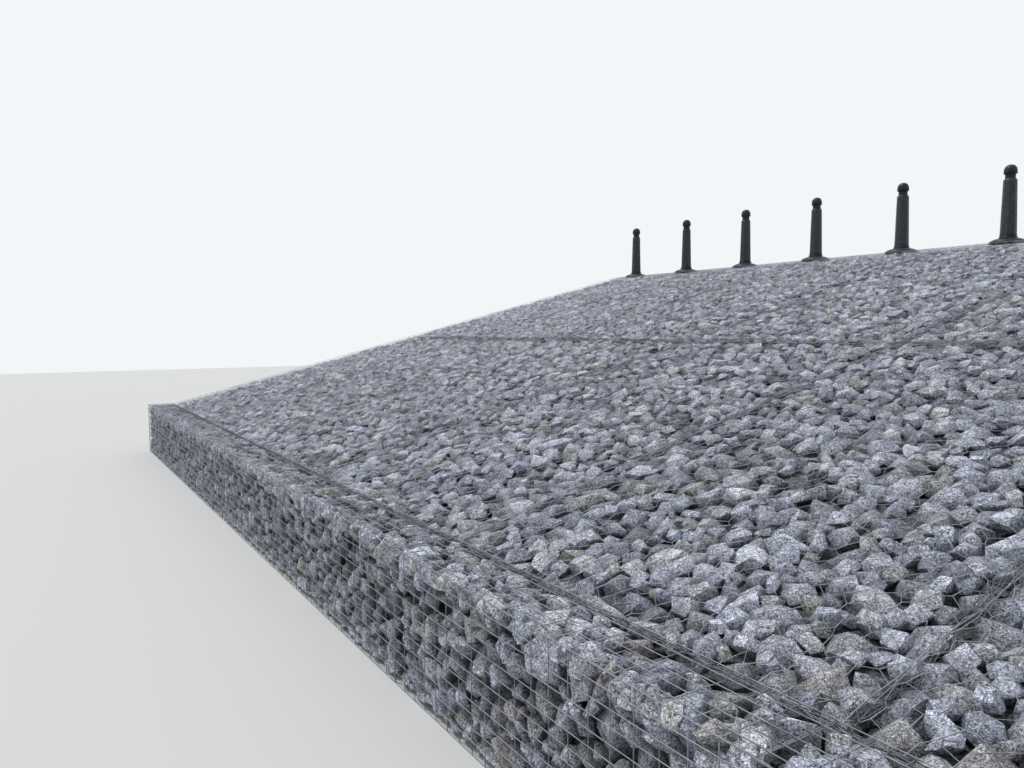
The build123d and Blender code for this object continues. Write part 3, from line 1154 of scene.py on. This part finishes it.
for bay in range(wall["bays"]):
    heap = newHeap(weldedMesh["seed"]["toe"] + bay)
    for face in toeFaces(bay)[:2]:
        addWeldedPanel(heap, face)
    start, end = leftEnd + bay * bayLength, leftEnd + (bay + 1) * bayLength
    room, headRoom = toeJoints["endRoom"], toeJoints["headRoom"]
    y, z = frontY + toeJoints["depth"], toeTop - toeJoints["depth"]
    addCoil(heap, (start + room, y, z), (end - room, y, z), (0, -1, 0))
    if bay:
        addCoil(heap, (start, y, room), (start, y, toeTop - headRoom), (0, -1, 0))
        addCoil(heap, (start, y, z), (start, toeBackY - headRoom, z), (0, 0, 1))
    finishHeap(heap, f"toeMesh{bay + 1}", [weldedWire], [f"toe_basket_{bay + 1}"])
heap = newHeap(weldedMesh["seed"]["toeEnds"])
for bay in (0, lastBay):
    addWeldedPanel(heap, toeFaces(bay)[2])
finishHeap(heap, "toeEndMesh", [weldedWire], ["toe_end_panels"])
report("welded mesh of the toe made")


def addEndWires(heap, face, pitch, across):
    # straight wires over an end face, cut off where each meets the outline
    outline = np.array(face["outline"], float)
    other = 1 - across
    radius = weldedMesh["radius"]
    low, high = outline[:, across].min(), outline[:, across].max()
    count = max(1, round((high - low) / pitch)) + 1
    lines = []
    for place in np.linspace(low + radius, high - radius, count):
        hits = []
        for a, b in zip(outline, np.roll(outline, -1, 0)):
            if (a[across] - place) * (b[across] - place) < 0:
                t = (place - a[across]) / (b[across] - a[across])
                hits.append(a[other] + t * (b[other] - a[other]))
        if len(hits) == 2:
            ends = sorted(hits)
            lines.append([(end, place, -radius) if across else (place, end, -3 * radius) for end in ends])
    addTubes(heap, faceToWorld(face, lines), radius, weldedMesh["sides"]["back"], face["axes"][2])


# Backing and crest: the same welded mesh, cut to each face
heap = newHeap(weldedMesh["seed"]["backing"])
for unit in range(wall["units"]):
    for course in unitOutline:
        addWeldedPanel(heap, backFace(course, unit), "back")
    addWeldedPanel(heap, crestTop(unit), "crest")
for outline in unitOutline.values():
    for face in endFaces(outline).values():
        addEndWires(heap, face, weldedMesh["rise"], 1)
        addEndWires(heap, face, weldedMesh["run"], 0)
finishHeap(heap, "backingMesh", [weldedWire])
report("welded mesh of the backing made")


# Mattress lids: hexagonal double-twist mesh, pulled down over the tops of the stones
twistMesh = {
    "width": 0.084,         # between one twist and the next
    "twist": 0.046,         # length of a twist
    "slant": 0.042,         # rise of the slanting wires
    "wire": 0.00122,        # radius
    "twisted": 0.0020,
    "selvedge": 0.0020,
    "selvedgeStep": 0.08,
    "selvedgeIn": 0.004,
    "hem": 0.003,           # the mesh ends this far inside the face
    "stray": 0.010,
    "cell": 0.03,           # of the grid that finds the tops of the stones
    "deepest": 0.06,        # to which the mesh sinks
    "reach": 2,             # cells that the mesh spans from a high stone
    "endDepth": 0.004,
    "seed": {"lower": 500, "upper": 550},
}


def drapeOver(tops, width, height):
    # the highest stone near each cell, smoothed as a taut mesh smooths it
    cell = twistMesh["cell"]
    shape = (int(width / cell) + 2, int(height / cell) + 2)
    grid = np.full(shape, -twistMesh["deepest"])
    i, j = np.clip((tops[:, :2] / cell).round().astype(int), 0, np.array(shape) - 1).T
    np.maximum.at(grid, (i, j), tops[:, 2])

    def around(grid):
        # each cell and its eight neighbours
        wide = np.pad(grid, 1, mode="edge")
        return [wide[i:i + shape[0], j:j + shape[1]] for i in range(3) for j in range(3)]

    for _ in range(twistMesh["reach"]):
        grid = np.max(around(grid), axis=0)
    grid = np.mean(around(grid), axis=0)

    def heightAt(u, v):
        x, y = np.clip(u / cell, 0, shape[0] - 1.001), np.clip(v / cell, 0, shape[1] - 1.001)
        i, j = x.astype(int), y.astype(int)
        a, b = x - i, y - j
        return ((1 - a) * (1 - b) * grid[i, j] + a * (1 - b) * grid[i + 1, j]
                + (1 - a) * b * grid[i, j + 1] + a * b * grid[i + 1, j + 1])

    return heightAt


def addTwistMesh(heap, face, heightAt):
    rng = heap["rng"]
    width, height = face["outline"][2]
    pitch = twistMesh["twist"] + twistMesh["slant"]
    columns, rows = round(width / twistMesh["width"]), int(height / pitch) + 1
    columnPitch, rowPitch = width / columns, height / rows
    twist = rowPitch * twistMesh["twist"] / pitch
    hem = twistMesh["hem"]

    def joints(row, v, stray):
        # where the wires meet, every other row half a cell across
        u = np.clip((np.arange(columns + 1) + 0.5 * (row % 2)) * columnPitch, 0, width)
        return np.clip(np.stack([u, np.full(len(u), v)], 1) + stray, hem, np.array([width, height]) - hem)

    def lift(points):
        # sits on the stones, and never above the face
        w = np.minimum(heightAt(*points.T) + twistMesh["wire"], -twistMesh["twisted"])
        return np.concatenate([points, w[:, None]], 1)

    feet, heads = [], []
    for row in range(rows):
        for ends, v in ((feet, row * rowPitch), (heads, row * rowPitch + twist)):
            ends.append(lift(joints(row, v, rng.normal(0, twistMesh["stray"], (columns + 1, 2)))))
    feet.append(lift(joints(rows, height, 0)))
    twists = np.stack([np.concatenate(feet[:-1]), np.concatenate(heads)], 1)
    slants = []
    for row, (head, foot) in enumerate(zip(heads, feet[1:])):
        slants.append(np.stack([head, foot], 1))
        slants.append(np.stack([head[:-1], foot[1:]] if row % 2 else [head[1:], foot[:-1]], 1))
    for lines, radius in ((twists, twistMesh["twisted"]), (np.concatenate(slants), twistMesh["wire"])):
        addTubes(heap, faceToWorld(face, lines), radius, 3, face["axes"][2], capped=False)
    step, rim = twistMesh["selvedgeStep"], twistMesh["selvedgeIn"]
    runs = np.linspace(hem, width - hem, int(width / step))
    rises = np.linspace(hem, height - hem, int(height / step) + 1)
    for u, v in ((runs, rim), (runs, height - rim), (rim, rises), (width - rim, rises)):
        edge = lift(np.stack(np.broadcast_arrays(u, v), 1))
        addTubes(heap, faceToWorld(face, edge[None]), twistMesh["selvedge"], 3, face["axes"][2])


for row, length in rowLength.items():
    for bay in range(wall["bays"]):
        heap = newHeap(twistMesh["seed"][row] + bay)
        addTwistMesh(heap, mattressFace(row, bay), drapeOver(bankTops[row, bay], bayLength, length))
        if bay in (0, lastBay):
            # the end panel, in the plane of the slope and upright across its thickness
            y, z = onSlope(rowStart[row] if bay else rowStart[row] + length, mattressDepth)
            x, along = (rightEnd, upSlope) if bay else (leftEnd, -upSlope)
            side = makeFace((x, y, z), along, slopeNormal, rectangle(length, mattressDepth))
            addTwistMesh(heap, side, lambda u, v: np.full(len(u), -twistMesh["endDepth"]))
        finishHeap(heap, f"{row}Mesh{bay + 1}", [twistedWire])
report("twisted mesh of the bank made")


# Lacing: bundles of loose wires that wander round each other, with a binding wire and cut ends
lacing = {
    "toe": {"wires": 6, "spread": 0.0145, "dips": 0.0},     # dips: how deep it goes down between the stones
    "row": {"wires": 5, "spread": 0.017, "dips": 0.012},
    "bay": {"wires": 6, "spread": 0.026, "dips": 0.030},
    "wire": 0.00155,
    "step": 0.052,
    "bindingPitch": 0.21,
    "bindingSteps": 9,      # for each turn
    "bindingWire": 0.85,    # of the thickness of the others
    "bindingSlip": (0.9, 9.0),      # how unevenly it turns, and how often for each metre
    "bindingReach": (1.05, 0.7),    # of the spread, sideways and outwards
    "skew": 0.4,
    "waves": ((1, 0.7, 0.4), (1, 2.7, 5.3)),    # shares and rates of the waves in a wire
    "swing": 1.6,           # sum of the waves that makes a full swing
    "rates": {"bundle": 1.9, "dip": 2.6, "side": 8.5, "rise": 9.5},     # radians for each metre
    "sway": {"bundle": 0.6, "rise": 0.45},      # of the spread
    "tails": 6,             # cut ends for each metre
    "tailLength": 0.09,
    "tailVary": (0.4, 1.3),
    "tailRise": (-0.05, 0.12),
    "tailCurl": (-0.5, 0.5),
    "tailSteps": 5,
    "endRoom": {"toe": 0.016, "row": 0.016, "bay": 0.04},
    "toePlace": (0.004, 0.017),     # in front of the slope's foot, and below the lid
    "seamDepth": 0.014,
    "seed": {"toe": 600, "slope": 610},
}


def addBundle(heap, kind, start, end, outward):
    rng = heap["rng"]
    wires, spread, dips = lacing[kind].values()
    start, end, outward = np.array(start, float), np.array(end, float), np.array(outward, float)
    length = np.linalg.norm(end - start)
    along = (end - start) / length
    side = np.cross(along, outward)
    count = int(length / lacing["step"]) + 1
    t = np.linspace(0, 1, count)

    rates, sway = lacing["rates"], lacing["sway"]

    def wander(rate, amount):
        phase = rng.uniform(0, anyTurn, 3)
        waves = zip(*lacing["waves"], phase)
        swing = sum(share * np.sin(quick * rate * length * t + turn) for share, quick, turn in waves)
        return (amount * swing / lacing["swing"])[:, None]

    spine = start + along * (t * length)[:, None] + wander(rates["bundle"], spread * sway["bundle"]) * side
    if dips:
        spine = spine - (dips + wander(rates["dip"], dips)).clip(0, 2 * dips) * outward
    lines = []
    for _ in range(wires):
        swing, heave = wander(rates["side"], spread), wander(rates["rise"], spread * sway["rise"])
        lines.append(spine + swing * side + heave * outward)
    addTubes(heap, lines, lacing["wire"], 3, outward)
    turns = length / lacing["bindingPitch"]
    fine = np.linspace(0, 1, int(turns * lacing["bindingSteps"]))
    middle = np.stack([np.interp(fine, t, spine[:, k]) for k in range(3)], 1)
    (slip, slipRate), (wide, high) = lacing["bindingSlip"], lacing["bindingReach"]
    around = (2 * math.pi * turns * fine + slip * np.sin(slipRate * fine * length))[:, None]
    wrap = middle + spread * (wide * np.cos(around) * side + high * np.sin(around) * outward)
    addTubes(heap, wrap[None], lacing["wire"] * lacing["bindingWire"], 3, outward + lacing["skew"] * along)
    tails = []
    for _ in range(int(length * lacing["tails"])):
        k = rng.integers(2, count - 2)
        heading = side * rng.uniform(-1, 1) + along * rng.uniform(-1, 1)
        heading = heading + outward * rng.uniform(*lacing["tailRise"])
        heading /= np.linalg.norm(heading)
        curl = np.cross(heading, outward) * rng.uniform(*lacing["tailCurl"])
        reach = lacing["tailLength"] * rng.uniform(*lacing["tailVary"])
        bend = np.linspace(0, 1, lacing["tailSteps"])[:, None]
        tails.append(spine[k] + reach * (heading * bend + curl * bend**2))
    addTubes(heap, tails, lacing["wire"], 3, outward)


toePlace = (toeBackY - lacing["toePlace"][0], toeTop - lacing["toePlace"][1])
rowPlace = onSlope(wall["lowerRow"], lacing["seamDepth"])
heap = newHeap(lacing["seed"]["toe"])
room = lacing["endRoom"]["toe"]
addBundle(heap, "toe", (leftEnd + room, *toePlace), (rightEnd - room, *toePlace), (0, 0, 1))
finishHeap(heap, "toeLacing", [lacingWire], ["toe_lacing"])

heap = newHeap(lacing["seed"]["slope"])
room = lacing["endRoom"]["row"]
addBundle(heap, "row", (leftEnd + room, *rowPlace), (rightEnd - room, *rowPlace), slopeNormal)
room = lacing["endRoom"]["bay"]
foot, head = onSlope(room, lacing["seamDepth"]), onSlope(slopeLength - room, lacing["seamDepth"])
for joint in range(1, wall["bays"]):
    x = leftEnd + joint * bayLength
    addBundle(heap, "bay", (x, *foot), (x, *head), slopeNormal)
finishHeap(heap, "slopeLacing", [lacingWire], ["slope_lacing"])
report("lacing made")


# Bollards: turned foot, ring, neck and cap, and an eight-sided tapered shaft with eased edges
bollard = {
    "count": 10,
    "foot": [(0.195, 0.0), (0.195, 0.010), (0.191, 0.016), (0.176, 0.029), (0.152, 0.041), (0.125, 0.050),
             (0.104, 0.056), (0.092, 0.059)],
    "ring": [(0.092, 0.059), (0.094, 0.065), (0.092, 0.073), (0.087, 0.077), (0.086, 0.083), (0.089, 0.087),
             (0.087, 0.092), (0.082, 0.096), (0.070, 0.096)],
    "shaft": [(0.080, 0.092), (0.079, 0.106), (0.0655, 0.704), (0.0645, 0.711), (0.060, 0.722),
              (0.056, 0.726)],
    "neck": [(0.056, 0.724), (0.0535, 0.731), (0.0530, 0.768), (0.0545, 0.776), (0.060, 0.781)],
    "cap": [(0.060, 0.780), (0.066, 0.783), (0.069, 0.789), (0.069, 0.812), (0.066, 0.836), (0.058, 0.857),
            (0.044, 0.874), (0.026, 0.884), (0.008, 0.887)],
    "round": 32,
    "shaftBevel": 0.006,
}


def addTurned(heap, base, profile, angles, reach=1.0, worn=0.0):
    # rings of (radius, height) turned about the upright axis; reach scales the radius at each angle
    radius, height = np.array(profile)[:, :, None].swapaxes(0, 1)
    x, y = radius * (reach * np.cos(angles)), radius * (reach * np.sin(angles))
    verts = np.stack([x, y, np.broadcast_to(height, x.shape)], 2).reshape(-1, 3)
    addToHeap(heap, verts + base, tubeTris(len(angles), len(profile)), edge=np.full(len(verts), worn))


def octagon(bevel, flats):
    # two points at each corner of an octagon, so that its edges are eased
    half = math.pi / 8
    turn = math.asin(bevel * math.cos(half) / flats) / 2
    angles = [2 * math.pi * (side + 0.5) / 8 + sign * turn for side in range(8) for sign in (-1, 1)]
    return np.array(angles), 1 / math.cos(half - turn)


for number in range(1, bollard["count"] + 1):
    low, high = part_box(f"bollard_{number}")
    base = np.array([(low.x + high.x) / 2, (low.y + high.y) / 2, low.z])
    stretch = np.array([1.0, (high.z - low.z) / bollard["cap"][-1][1]])
    heap = newHeap()
    angles = 2 * math.pi * np.arange(bollard["round"]) / bollard["round"]
    for part in ("foot", "ring", "neck", "cap"):
        addTurned(heap, base, bollard[part] * stretch, angles)
    shaftAngles, reach = octagon(bollard["shaftBevel"], bollard["shaft"][0][0])
    addTurned(heap, base, bollard["shaft"] * stretch, shaftAngles, reach, worn=1.0)
    finishHeap(heap, f"bollard{number}", [paintedIron], [f"bollard_{number}"])
report("bollards made")


# The camera, at eye height above the level floor
cameraPlace = {
    "spot": (5.12, -5.574, 1.574),
    "yaw": 32.282,          # degrees from the wall's line, looking along it and into the bank
    "pitch": -3.978,
    "roll": -0.256,
    "focal": 769.0,         # in pixels of the 1024 pixel wide picture
    "width": 1024.0,
    "sensor": 36.0,
    "clip": (0.05, 300.0),
}
yaw, pitch, roll = (math.radians(cameraPlace[key]) for key in ("yaw", "pitch", "roll"))
forward = Vector((-math.cos(yaw) * math.cos(pitch), math.sin(yaw) * math.cos(pitch), math.sin(pitch)))
right = forward.cross(Vector((0, 0, 1))).normalized()
up = right.cross(forward)
rolledRight = right * math.cos(roll) + up * math.sin(roll)
rolledUp = up * math.cos(roll) - right * math.sin(roll)
camera = placeObject("camera", bpy.data.cameras.new("camera"))
turned = Matrix((rolledRight, rolledUp, -forward)).transposed().to_4x4()
camera.matrix_world = Matrix.Translation(cameraPlace["spot"]) @ turned
camera.data.sensor_width = cameraPlace["sensor"]
camera.data.lens = cameraPlace["focal"] / cameraPlace["width"] * cameraPlace["sensor"]
camera.data.clip_start, camera.data.clip_end = cameraPlace["clip"]
bpy.context.scene.camera = camera

# A pale floor, a pale sky and a soft sun that stands high, on the camera's left
studio = {
    "floorSize": 60.0,
    "floorDrop": 0.001,
    "floorColour": (0.62, 0.62, 0.61, 1),
    "floorRoughness": 0.9,
    "skyColour": (0.93, 0.96, 1.0, 1),
    "skyStrength": 0.55,
    "backdropColour": (0.90, 0.92, 0.94, 1),
    "sunStrength": 2.10,
    "sunAngle": 14.0,
    "sunFrom": (-0.45, -0.22, 1.0),
}
half = studio["floorSize"] / 2
floorMesh = bpy.data.meshes.new("studioFloor")
corners = [(-half, -half, 0), (half, -half, 0), (half, half, 0), (-half, half, 0)]
floorMesh.from_pydata(corners, [], [(0, 1, 2, 3)])
floor = placeObject("studioFloor", floorMesh)
floor.location.z = -studio["floorDrop"]
floorMaterial, tree, shader = newMaterial("studioFloor")
shader.inputs["Base Color"].default_value = studio["floorColour"]
shader.inputs["Roughness"].default_value = studio["floorRoughness"]
floorMesh.materials.append(floorMaterial)

world = bpy.data.worlds.new("studio")
world.use_nodes = True
tree = world.node_tree
tree.nodes.clear()
# what the camera, gloss and glass see is the pale backdrop, and the sky only lights
ray = addNode(tree, "ShaderNodeLightPath").outputs
rays = [ray[f"Is {kind} Ray"] for kind in ("Camera", "Glossy", "Transmission")]
seen = addMath(tree, "MAXIMUM", *rays)
sky, backdrop = (
    addNode(tree, "ShaderNodeBackground", {"Color": colour, "Strength": strength}).outputs[0]
    for colour, strength in ((studio["skyColour"], studio["skyStrength"]), (studio["backdropColour"], 1.0)))
mixed = addNode(tree, "ShaderNodeMixShader", {0: seen, 1: sky, 2: backdrop}).outputs[0]
addNode(tree, "ShaderNodeOutputWorld", {"Surface": mixed})
bpy.context.scene.world = world

sun = placeObject("softSun", bpy.data.lights.new("softSun", "SUN"))
sun.data.energy = studio["sunStrength"]
sun.data.angle = math.radians(studio["sunAngle"])
sun.rotation_euler = Vector(studio["sunFrom"]).to_track_quat("Z", "Y").to_euler()
bpy.context.scene.view_settings.view_transform = "Standard"

for name, count in triangleCount.items():
    print(f"{name}: {count} triangles")
print(f"in all {sum(triangleCount.values())} triangles")
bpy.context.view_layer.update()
report("scene finished")
